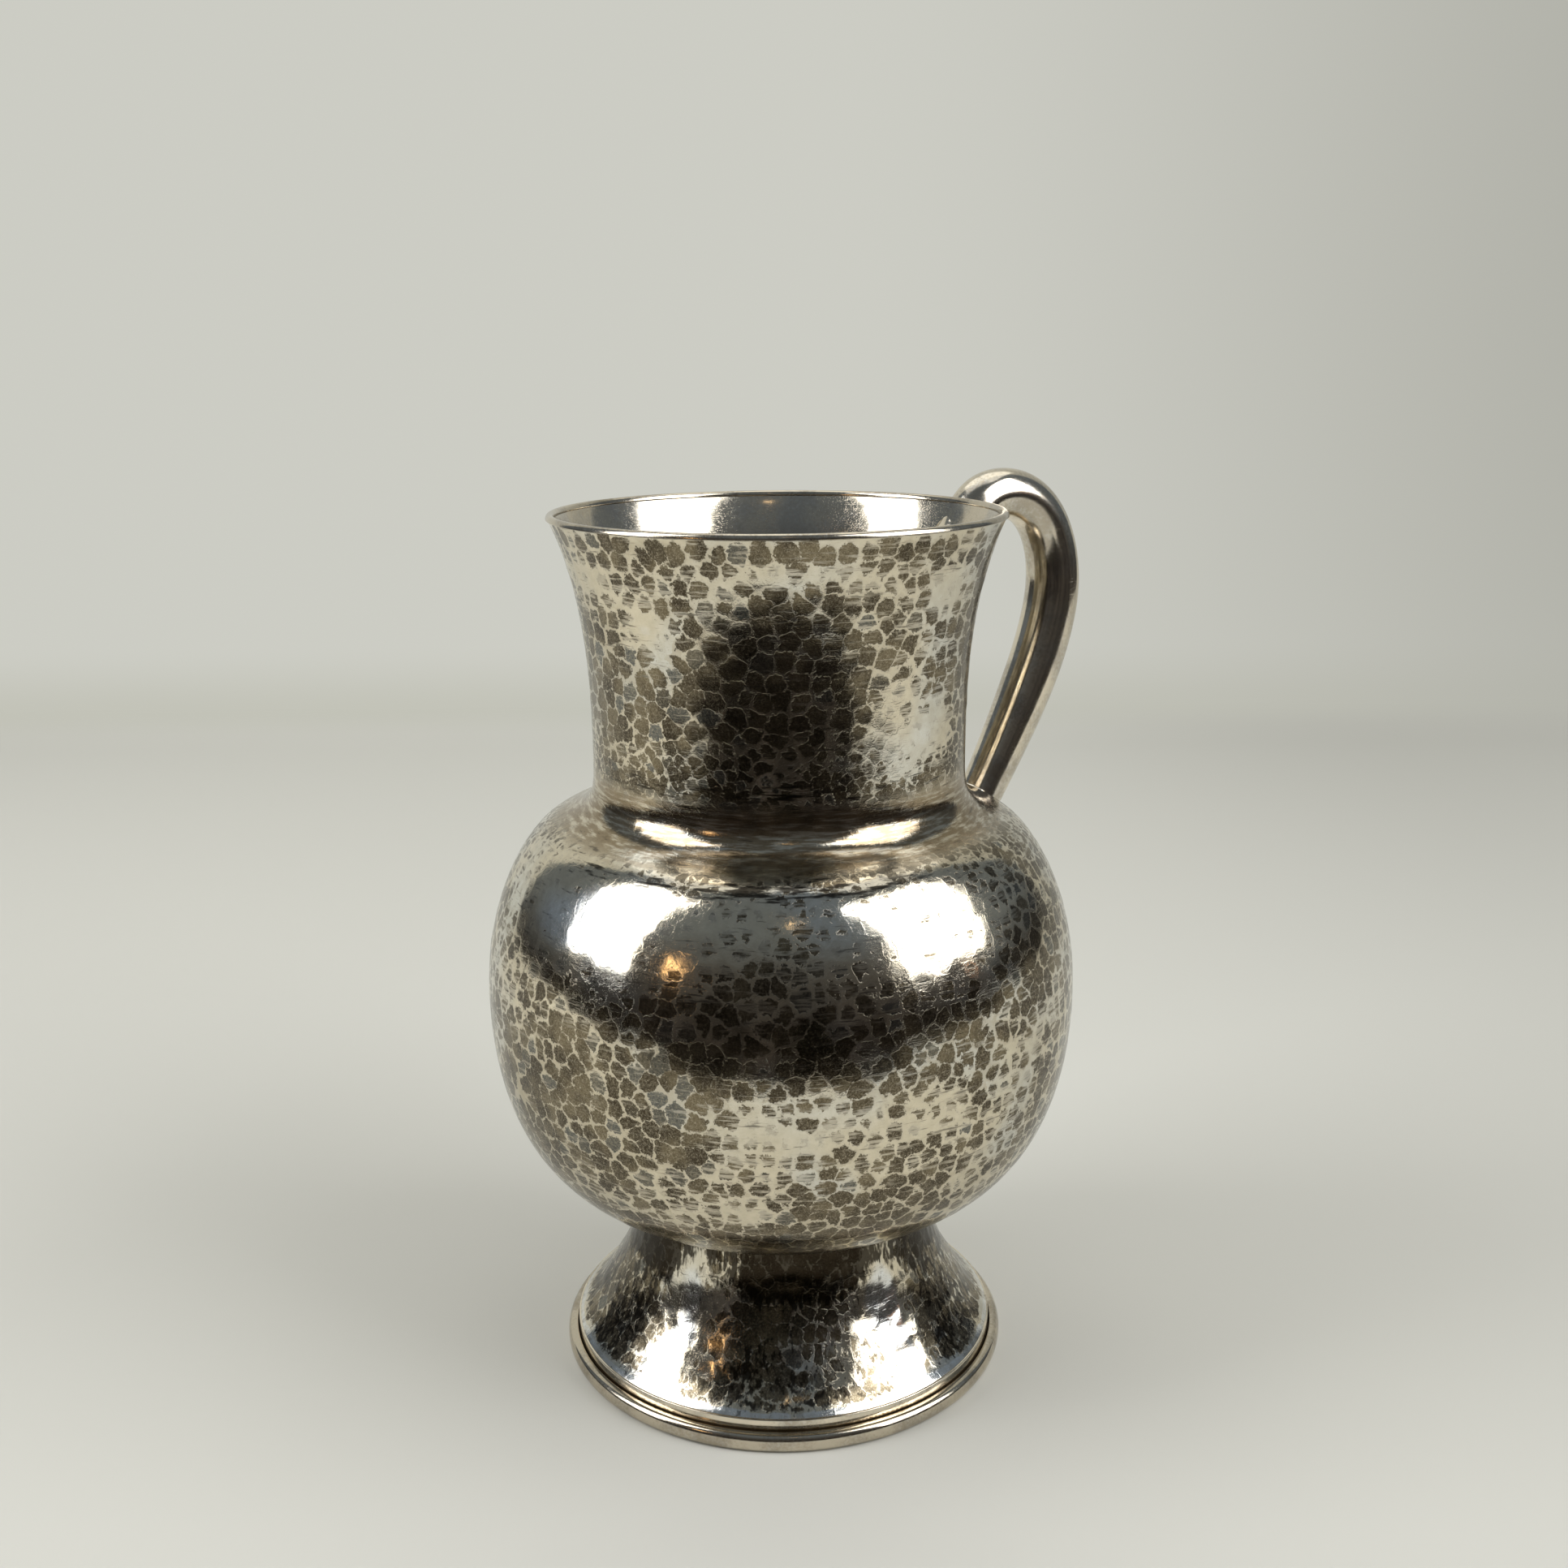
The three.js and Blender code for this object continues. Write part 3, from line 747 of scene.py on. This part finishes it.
def trumpet():
    columns = 300
    outline, closed = cad_outline("foot_trumpet")
    runs = section_runs(outline, closed)
    outside = max(range(len(runs)), key=lambda i: np.ptp(runs[i][:, 1]) * 10 + runs[i][:, 0].max())
    runs = runs[outside:] + runs[:outside]
    spacings = [0.95 * MM] + [1.6 * MM if np.ptp(run[:, 1]) > 5 * MM else 0.6 * MM for run in runs[1:]]
    rows = rounded_rows(runs, spacings, 0.14 * MM)
    outer_count = 2 + int(np.argmax(rows[:, 1]))
    top = rows[:, 1].max()
    # Fuller than the CAD halfway up, where the photograph shows it mirroring the room.
    fuller = ramp(rows[:outer_count, 1], BAND_TOP + 1 * MM, 15 * MM)
    fuller *= 1 - ramp(rows[:outer_count, 1], 17 * MM, top - 1 * MM)
    rows[:outer_count, 0] += 1.1 * MM * fuller
    grid = turned_grid(rows, columns)
    outer_rows = rows[:outer_count]

    def row_pitch(height):
        return 3.8 * MM

    def column_pitch(height):
        return (2.4 + 0.5 * ramp(height, 25 * MM, 8 * MM)) * MM

    centres, sizes = hammer_marks(outer_rows, row_pitch, column_pitch)

    def depth(points):
        height = points[:, 2]
        lip = ramp(height, BAND_TOP + 0.6 * MM, BAND_TOP + 3 * MM)
        return 0.095 * MM * lip * (1 - ramp(height, top - 3 * MM, top - 0.5 * MM))

    points = grid[:outer_count].reshape(-1, 3)
    relief = hammered_relief(points, centres, sizes, depth, 0.020)
    height = points[:, 2]
    relief *= ramp(height, BAND_TOP, BAND_TOP + 2 * MM)
    relief += slow_noise(points, 12 * MM, 2.0) * 0.05 * MM * ramp(height, BAND_TOP, BAND_TOP + 3 * MM)
    amount = np.zeros(grid.shape[:2])
    amount[:outer_count] = relief.reshape(outer_count, columns)
    grid = push(grid, rows, amount)
    vertices = grid.reshape(-1, 3)
    quads = grid_faces(len(rows), columns, True)
    quad_row = np.arange(len(quads)) // columns
    finish = np.where(quad_row < outer_count, 0, 1)
    made = new_object("foot", vertices, list(quads), [hammered_foot, polished_inside], finish)
    mark_faces(made, centres, columns * outer_count)
    angle, height = view_angle(vertices), vertices[:, 2]
    wear = 0.02 + 0.26 * slow_noise(vertices, 13 * MM, 4.0) + 0.22 * slow_noise(vertices, 5 * MM, 1.0)
    # Painted shade: the top of the foot under the bulb darkened nearly to black, with streaked darkening
    # over the rest.
    shade = ramp(height, 20 * MM, 31 * MM) * (0.75 + 0.35 * slow_noise(vertices, 7 * MM, 6.0))
    shade += 0.24 + 0.35 * slow_noise(vertices, 9 * MM, 7.0)
    wear += 0.35 * ramp(height, 20 * MM, 9 * MM) * (slow_noise(vertices, 6 * MM, 8.0) > 0.1)
    for patch in FOOT_PATCHES:
        wear += spot(angle, height, *patch)
        shade -= spot(angle, height, *patch)
    above_lip = ramp(height, BAND_TOP + 0.6 * MM, BAND_TOP + 1.6 * MM)
    wear += 1.1 * (1 - above_lip)
    shade *= above_lip
    set_attribute(made, "wear", "FLOAT", "POINT", np.clip(wear, 0, 1.4))
    set_attribute(made, "shade", "FLOAT", "POINT", np.clip(shade, 0, 1))
    set_attribute(made, "smoothed", "FLOAT", "POINT", np.zeros(len(vertices)))
    return made


# The same for the foot, where a rubbed patch also carries less painted shade
FOOT_PATCHES = [
    (-34, 20, 10, 18, 1.25),
    (38, 19, 11, 15, 1.05),
    (-19, 24, 5, 14, 0.45),
    (12, 16, 12, 7, 0.30),
    (36, 20, 9, 10, 0.18),
    (-8, 12, 12, 6, -0.20),
    (55, 15, 14, 10, -0.15),
    (-62, 15, 12, 9, -0.20),
]

pitcher_foot = trumpet()
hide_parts("foot_trumpet")
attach(pitcher_foot, "root")


def plain_ring(
    name, node, material, spacing, round_by, columns=288, unevenness=0.02
):
    """A turned ring with rounded corners, slightly uneven as hand work is."""
    outline, closed = cad_outline(node)
    runs = section_runs(outline, closed)
    rows = rounded_rows(runs, [spacing] * len(runs), round_by)
    grid = turned_grid(rows, columns)
    points = grid.reshape(-1, 3)
    amount = slow_noise(points, 9 * MM, len(name)).reshape(grid.shape[:2]) * unevenness * MM
    grid = push(grid, rows, amount)
    made = new_object(name, grid.reshape(-1, 3), list(grid_faces(len(rows), columns, True)), [material])
    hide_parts(node)
    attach(made, "root")
    return made


plain_ring("rim", "rim_wire", polished_wire, 0.22 * MM, 0.12 * MM, columns=360)
plain_ring("band", "foot_band", band_finish, 0.5 * MM, 0.2 * MM)
plain_ring("wire", "base_wire", polished_wire, 0.3 * MM, 0.12 * MM)
plain_ring(
    "foot_seam", "foot_solder", solder_finish, 0.35 * MM, 0.1 * MM, unevenness=0.12
)


# ---- Handle ----


def handle_path():
    """The handle's centreline and radii, read from its CAD node: a ring's widest points lie over it."""
    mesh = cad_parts["handle"].data
    seen = {}
    for vertex in mesh.vertices:
        x, y, z = vertex.co
        seen.setdefault((round(x, 5), round(z, 5)), set()).add(round(y, 5))
    stations = [(x, z, max(ys)) for (x, z), ys in seen.items() if len(ys) == 4 and max(ys) > 4 * MM]
    stations = np.array(stations)
    order = [int(np.argmin(stations[:, 1]))]
    left = set(range(len(stations))) - set(order)
    while left:
        gaps = {i: np.linalg.norm(stations[i, :2] - stations[order[-1], :2]) for i in left}
        order.append(min(gaps, key=gaps.get))
        left.remove(order[-1])
    return stations[order]


def soften(values, width):
    """Values averaged with their neighbours, with the ends kept."""
    reach = 3 * width
    kernel = np.exp(-0.5 * (np.arange(-reach, reach + 1) / width) ** 2)
    kernel /= kernel.sum()
    before = 2 * values[0] - values[reach:0:-1]
    after = 2 * values[-1] - values[-2 : -reach - 2 : -1]
    padded = np.vstack([before, values, after])
    return np.stack([np.convolve(padded[:, i], kernel, "valid") for i in range(values.shape[1])], axis=1)


vessel_outline = cad_outline("vessel_body")[0]
vessel_outside = vessel_outline[: int(np.argmax(vessel_outline[:, 1])) + 1]


def vessel_radius(height):
    return np.interp(height, vessel_outside[:, 1], vessel_outside[:, 0])


def handle_rings(path, sides):
    """Rings of the handle's tube, and the directions across it, along it and up its plane."""
    centre = np.stack([path[:, 0], np.zeros(len(path)), path[:, 1]], axis=1)
    along = np.gradient(centre, axis=0)
    along /= np.linalg.norm(along, axis=1)[:, None]
    across = np.array([0.0, 1.0, 0.0])
    up = np.cross(along, across)
    angle = np.arange(sides) * 2 * math.pi / sides
    ring = np.cos(angle)[None, :, None] * across + np.sin(angle)[None, :, None] * up[:, None]
    return centre[:, None] + ring * path[:, 2][:, None, None], ring, along


def handle():
    path = handle_path()
    curve = soften(evenly(natural_spline(path, 12), 0.7 * MM), 4)
    lower, upper = curve[0] - curve[1], curve[-1] - curve[-2]
    run_on = 9
    before = curve[0] + np.outer(np.arange(run_on, 0, -1), lower)
    after = curve[-1] + np.outer(np.arange(1, run_on + 1), upper)
    before[:, 2], after[:, 2] = curve[0, 2], curve[-1, 2]
    curve = np.vstack([before, curve, after])
    inside_wall = np.abs(curve[:, 0] - AXIS_X) < vessel_radius(curve[:, 1]) - 0.3 * MM
    keep = np.flatnonzero(~inside_wall)
    curve = curve[max(0, keep[0] - 1) : keep[-1] + 2]
    sides = 48
    points, ring, along = handle_rings(curve, sides)
    flat = points.reshape(-1, 3)
    uneven = slow_noise(flat, 14 * MM, 6.0) * 0.07 * MM + slow_noise(flat, 5 * MM, 2.5) * 0.012 * MM
    points = points + ring * uneven.reshape(points.shape[:2])[..., None]
    # The tube's own ends are drawn on to the vessel's skin, just under it.
    for end, direction in ((0, -along[0]), (-1, along[-1])):
        for k in range(sides):
            tip = points[end, k].copy()
            for _ in range(60):
                skin = vessel_radius(tip[2]) - 0.4 * MM
                if math.hypot(tip[0] - AXIS_X, tip[1]) <= skin:
                    break
                tip = tip + direction * 0.2 * MM
            points[end, k] = tip
    vertices = points.reshape(-1, 3)
    count = len(vertices)
    vertices = np.vstack([vertices, points[0].mean(axis=0), points[-1].mean(axis=0)])
    quads = grid_faces(len(points), sides, False)
    ends = fan(count, np.arange(sides), True)
    ends += fan(count + 1, count - sides + np.arange(sides), False)
    made = new_object("grip", vertices, [*quads, *ends], [polished_handle])
    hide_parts("handle")
    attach(made, "root")
    return curve


def handle_seam(name, node, centre, direction, radius, leg):
    """A concave ring of solder where the tube meets the vessel, with a slightly uneven edge."""
    sides, steps = 72, 7
    direction = direction / np.linalg.norm(direction)
    across = np.array([0.0, 1.0, 0.0])
    up = np.cross(direction, across)
    rings = [[] for _ in range(steps + 3)]
    for k in range(sides):
        angle = 2 * math.pi * k / sides
        out = math.cos(angle) * across + math.sin(angle) * up

        def skin(spread, above):
            """Where a line along the tube, this far from its axis, comes this near the vessel."""
            tip = centre + out * (radius + spread) + direction * 16 * MM
            for _ in range(400):
                if math.hypot(tip[0] - AXIS_X, tip[1]) <= vessel_radius(tip[2]) + above:
                    break
                tip = tip - direction * 0.1 * MM
            return tip

        around = Vector((math.cos(angle) * 1.7, math.sin(angle) * 1.7, radius * 900))
        own = leg * (1 + 0.18 * noise.noise(around))
        root = skin(0.0, 0.0)
        high = skin(0.0, own) + out * 0.05 * MM
        far = skin(own, 0.06 * MM)
        bend = 0.75 * root + 0.125 * (high + far)
        for step in range(steps):
            s = step / (steps - 1)
            rings[step].append((1 - s) ** 2 * high + 2 * s * (1 - s) * bend + s * s * far)
        rings[steps].append(skin(own * 0.9, -0.25 * MM))
        rings[steps + 1].append(skin(-0.3 * MM, -0.25 * MM))
        rings[steps + 2].append(high - out * 0.3 * MM - direction * 0.1 * MM)
    points = np.array(rings)
    quads = grid_faces(len(points), sides, True)
    vertices = points.reshape(-1, 3)
    first = vertices[quads[0]]
    outward = first.mean(axis=0) - vertices.mean(axis=0)
    if np.cross(first[1] - first[0], first[2] - first[0]) @ outward <= 0:
        quads = quads[:, ::-1]
    made = new_object(name, vertices, list(quads), [solder_finish])
    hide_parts(node)
    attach(made, "root")


grip_curve = handle()
for seam, node, end, onward in (
    ("grip_lower_seam", "handle_lower_solder", 0, 6),
    ("grip_upper_seam", "handle_upper_solder", -1, -7),
):
    here, there = grip_curve[end], grip_curve[onward]
    start = np.array([here[0], 0.0, here[1]])
    leaving = np.array([there[0] - here[0], 0.0, there[1] - here[1]])
    leaving /= np.linalg.norm(leaving)
    handle_seam(seam, node, start, leaving, here[2], 1.7 * MM)


# ---- Stage: pale floor and backdrop, soft boxes, and the dark room that the metal mirrors ----

AXIS = np.array([AXIS_X, 0.0, 0.0])


def stage_point(right, toward, height):
    """A point given by the viewer's right, towards the viewer and up, from the vessel's axis."""
    return AXIS + VIEW_RIGHT * right + VIEW_TOWARD * toward + np.array([0, 0, height])


def stage_object(name, points, faces, material):
    made = new_object(name, points, faces, [material])
    return made


PAPER = (0.635, 0.633, 0.588)
# Painted shade: the paper's colour towards the viewer's right.
PAPER_PAINTED_SHADE_RIGHT = tuple(0.83 * value for value in PAPER)
WALL_PAINTED_SHADE_LOW = (0.535, 0.535, 0.468)
WALL_HIGH = (0.605, 0.606, 0.552)
WALL_PAINTED_SHADE_RIGHT = (0.43, 0.43, 0.385)
BACKGROUND = (0.60, 0.603, 0.55, 1)


def paper_with_painted_shade(g, right):
    """The paper's colour, with painted shade that darkens it a little towards the viewer's right."""
    return g.blend(g.smooth(right, 0.02, 0.34), PAPER, PAPER_PAINTED_SHADE_RIGHT)


def sweep_material():
    """Paper that takes light and shadow on the floor and glows up the backdrop, with painted shade low down
    by the fold and towards the viewer's right.
    """
    g = material_graph("paper_sweep")
    place = g.node("ShaderNodeTexCoord").outputs["Object"]
    height = g.node("ShaderNodeSeparateXYZ", {0: place}).outputs[2]
    right = g.vector("DOT_PRODUCT", place, tuple(VIEW_RIGHT))
    paper = g.node("ShaderNodeBsdfDiffuse", {"Color": paper_with_painted_shade(g, right)}).outputs[0]
    # Painted shade on the backdrop's glow: darker low down by the fold and towards the viewer's right.
    wall = g.blend(g.smooth(height, 0.001, 0.034), WALL_PAINTED_SHADE_LOW, WALL_HIGH)
    wall = g.blend(g.smooth(right, 0.0, 0.66), wall, WALL_PAINTED_SHADE_RIGHT)
    return g.surface(g.between(g.smooth(height, 0.0003, 0.008), paper, g.emission(wall)))


# How far the paper reaches towards the viewer, at distances from the middle
FRONT_EDGE = [(0.0, 0.262), (0.27, 0.262), (0.30, 0.34), (0.42, 0.34), (0.52, 0.25), (1.05, 0.05)]
SIDE_EDGE = 1.05
FOLD = 0.56
FOLD_RADIUS = 0.30
WALL_TOP = 2.2
PAPER_GAP = 0.00002  # under the pitcher
APRON_DROP = 0.0006
APRON_REACH = 6


def paper_sweep():
    profile = [(None, 0.0), (0.0, 0.0), (-0.2, 0.0), (-FOLD, 0.0)]
    for step in range(1, 17):
        angle = step / 16 * math.pi / 2
        profile.append((-FOLD - FOLD_RADIUS * math.sin(angle), FOLD_RADIUS * (1 - math.cos(angle))))
    profile.append((-FOLD - FOLD_RADIUS, WALL_TOP))
    sides = np.linspace(-SIDE_EDGE, SIDE_EDGE, 81)
    reach = np.interp(np.abs(sides), *zip(*FRONT_EDGE))
    points = [
        stage_point(side, front if toward is None else toward, up - PAPER_GAP)
        for toward, up in profile
        for side, front in zip(sides, reach)
    ]
    quads = grid_faces(len(profile), len(sides), False, False)
    stage_object("paper_sweep", points, list(quads), sweep_material())


def floor_apron():
    """The rest of the floor, which fades into the background and isn't mirrored."""
    g = material_graph("paper_floor")
    place = g.node("ShaderNodeTexCoord").outputs["Object"]
    right = g.vector("DOT_PRODUCT", place, tuple(VIEW_RIGHT))
    paper = g.node("ShaderNodeBsdfDiffuse", {"Color": paper_with_painted_shade(g, right)}).outputs[0]
    share = g.smooth(g.vector("LENGTH", place), 0.5, 1.3)
    material = g.surface(g.between(share, paper, g.emission(BACKGROUND)))
    corners = [(-1, -1), (1, -1), (1, 1), (-1, 1)]
    points = [stage_point(x * APRON_REACH, y * APRON_REACH, -APRON_DROP) for x, y in corners]
    made = stage_object("floor_apron", points, [np.arange(4)], material)
    made.visible_glossy = False


DIM_DARK, DIM_LIGHT = (0.014, 0.013, 0.012), (0.060, 0.053, 0.048)
DIM_UPPER = (0.070, 0.068, 0.066)
CEILING = (0.132, 0.152, 0.170)
ROOM_RADIUS = 1.35
ROOM_REACH = math.radians(128)  # each way round from the viewer's side
ROOM_LOWEST, ROOM_HIGHEST = math.radians(-60), math.radians(88)


def around(azimuth, elevation, distance, centre_height=0.0):
    """A place seen from the vessel at an azimuth (positive to the viewer's right) and an elevation."""
    flat = distance * math.cos(elevation)
    height = centre_height + distance * math.sin(elevation)
    return stage_point(flat * math.sin(azimuth), flat * math.cos(azimuth), height)


def dark_room():
    """What the metal mirrors in front of the paper: a dim room with a paler ceiling."""
    g = material_graph("dim_room")
    place = g.node("ShaderNodeTexCoord").outputs["Object"]
    height = g.node("ShaderNodeSeparateXYZ", {0: place}).outputs[2]
    toward = g.vector("DOT_PRODUCT", place, tuple(VIEW_TOWARD))
    blotch = g.noise(place, 3.2, 3.0, 0.6)[0]
    dim = g.blend(g.smooth(blotch, 0.35, 0.7), DIM_DARK, DIM_LIGHT)
    dim = g.blend(g.smooth(height, 0.0, 0.6), dim, DIM_UPPER)
    # The ceiling comes lower at the sides.
    level = g.math("ADD", height, g.smooth(toward, 0.0, 0.75, 0.5, 0.0))
    colour = g.blend(g.smooth(level, 0.46, 0.98), dim, CEILING)
    material = g.surface(g.emission(colour))
    azimuths = np.linspace(-ROOM_REACH, ROOM_REACH, 49)
    elevations = np.linspace(ROOM_LOWEST, ROOM_HIGHEST, 33)
    points = [around(a, e, ROOM_RADIUS) for e in elevations for a in azimuths]
    quads = grid_faces(len(elevations), len(azimuths), False, False)
    made = stage_object("dim_room", points, list(quads), material)
    made.visible_camera = False
    made.visible_diffuse = False
    made.visible_shadow = False
    made.visible_transmission = False


LAMP_AIM = 0.09  # height above the floor
SOFT_BOX_DISTANCE = 1.1
WARM_LAMP_DISTANCE = 1.25


def lamp(name, kind, energy, colour, place):
    light = bpy.data.lights.new(name, kind)
    light.energy = energy
    light.color = colour
    made = bpy.data.objects.new(name, light)
    bpy.context.scene.collection.objects.link(made)
    made.location = Vector(place)
    return made


def soft_box(name, azimuth, elevation, width, height, radiance, colour=(1, 1, 1)):
    """A rectangular lamp that faces the vessel."""
    place = around(math.radians(azimuth), math.radians(elevation), SOFT_BOX_DISTANCE, LAMP_AIM)
    made = lamp(name, "AREA", radiance * math.pi * width * height, colour, place)
    made.data.shape = "RECTANGLE"
    made.data.size, made.data.size_y = width, height
    facing = Vector(stage_point(0, 0, LAMP_AIM)) - Vector(place)
    made.rotation_euler = facing.to_track_quat("-Z", "Y").to_euler()


def warm_lamp(name, azimuth, elevation, radius, radiance, colour):
    place = around(math.radians(azimuth), math.radians(elevation), WARM_LAMP_DISTANCE, LAMP_AIM)
    made = lamp(name, "POINT", radiance * 4 * math.pi**2 * radius**2, colour, place)
    made.data.shadow_soft_size = radius


paper_sweep()
floor_apron()
dark_room()
soft_box("soft_box_left", -76, 35, 0.58, 0.98, 4.4)
soft_box("soft_box_right", 68, 35, 0.80, 0.94, 4.2)
soft_box("top_fill", 178, 74, 1.1, 0.9, 0.75, (1.0, 0.99, 0.96))
warm_lamp("room_lamp_left", -42, 20, 0.065, 3.2, (1.0, 0.62, 0.30))
warm_lamp("room_lamp_high", 6, 47, 0.026, 4.0, (1.0, 0.72, 0.42))
warm_lamp("room_lamp_right", 75, 8, 0.030, 0.8, (1.0, 0.50, 0.24))

AMBIENT = (0.60, 0.60, 0.57, 1)
AMBIENT_STRENGTH = 0.30


def pale_world():
    """The background as the camera, metal and glass see it, and dimmer light from all round."""
    world = bpy.data.worlds.new("pale_room")
    bpy.context.scene.world = world
    g = Graph(world)
    paths = g.node("ShaderNodeLightPath").outputs
    seen = g.math("MAXIMUM", paths["Is Camera Ray"], paths["Is Glossy Ray"])
    seen = g.math("MAXIMUM", seen, paths["Is Transmission Ray"])
    inputs = {"Color": AMBIENT, "Strength": AMBIENT_STRENGTH}
    ambient = g.node("ShaderNodeBackground", inputs).outputs[0]
    shown = g.node("ShaderNodeBackground", {"Color": BACKGROUND}).outputs[0]
    g.node("ShaderNodeOutputWorld", {0: g.between(seen, ambient, shown)})


pale_world()


# ---- Camera ----

CAMERA_DISTANCE = 0.3407
CAMERA_HEIGHT = 0.2121
CAMERA_PITCH = math.radians(14.5)
CAMERA_YAW = math.radians(0.155)
CAMERA_ROLL = math.radians(0.42)
CAMERA_LENS = 39.32

camera_data = bpy.data.cameras.new("camera")
camera_data.sensor_width = 36
camera_data.lens = CAMERA_LENS
camera_data.clip_start = 0.01
camera = bpy.data.objects.new("camera", camera_data)
bpy.context.scene.collection.objects.link(camera)
forward = -Vector(VIEW_TOWARD) * math.cos(CAMERA_PITCH) - Vector((0, 0, math.sin(CAMERA_PITCH)))
forward = Matrix.Rotation(-CAMERA_YAW, 3, "Z") @ forward
right = forward.cross(Vector((0, 0, 1))).normalized()
upward = right.cross(forward)
turn = Matrix.Rotation(CAMERA_ROLL, 3, forward)
right, upward = turn @ right, turn @ upward
pose = Matrix((right, upward, -forward)).transposed().to_4x4()
pose.translation = Vector(stage_point(0, CAMERA_DISTANCE, CAMERA_HEIGHT))
camera.matrix_world = pose
bpy.context.scene.camera = camera

bpy.context.scene.view_settings.view_transform = "Standard"
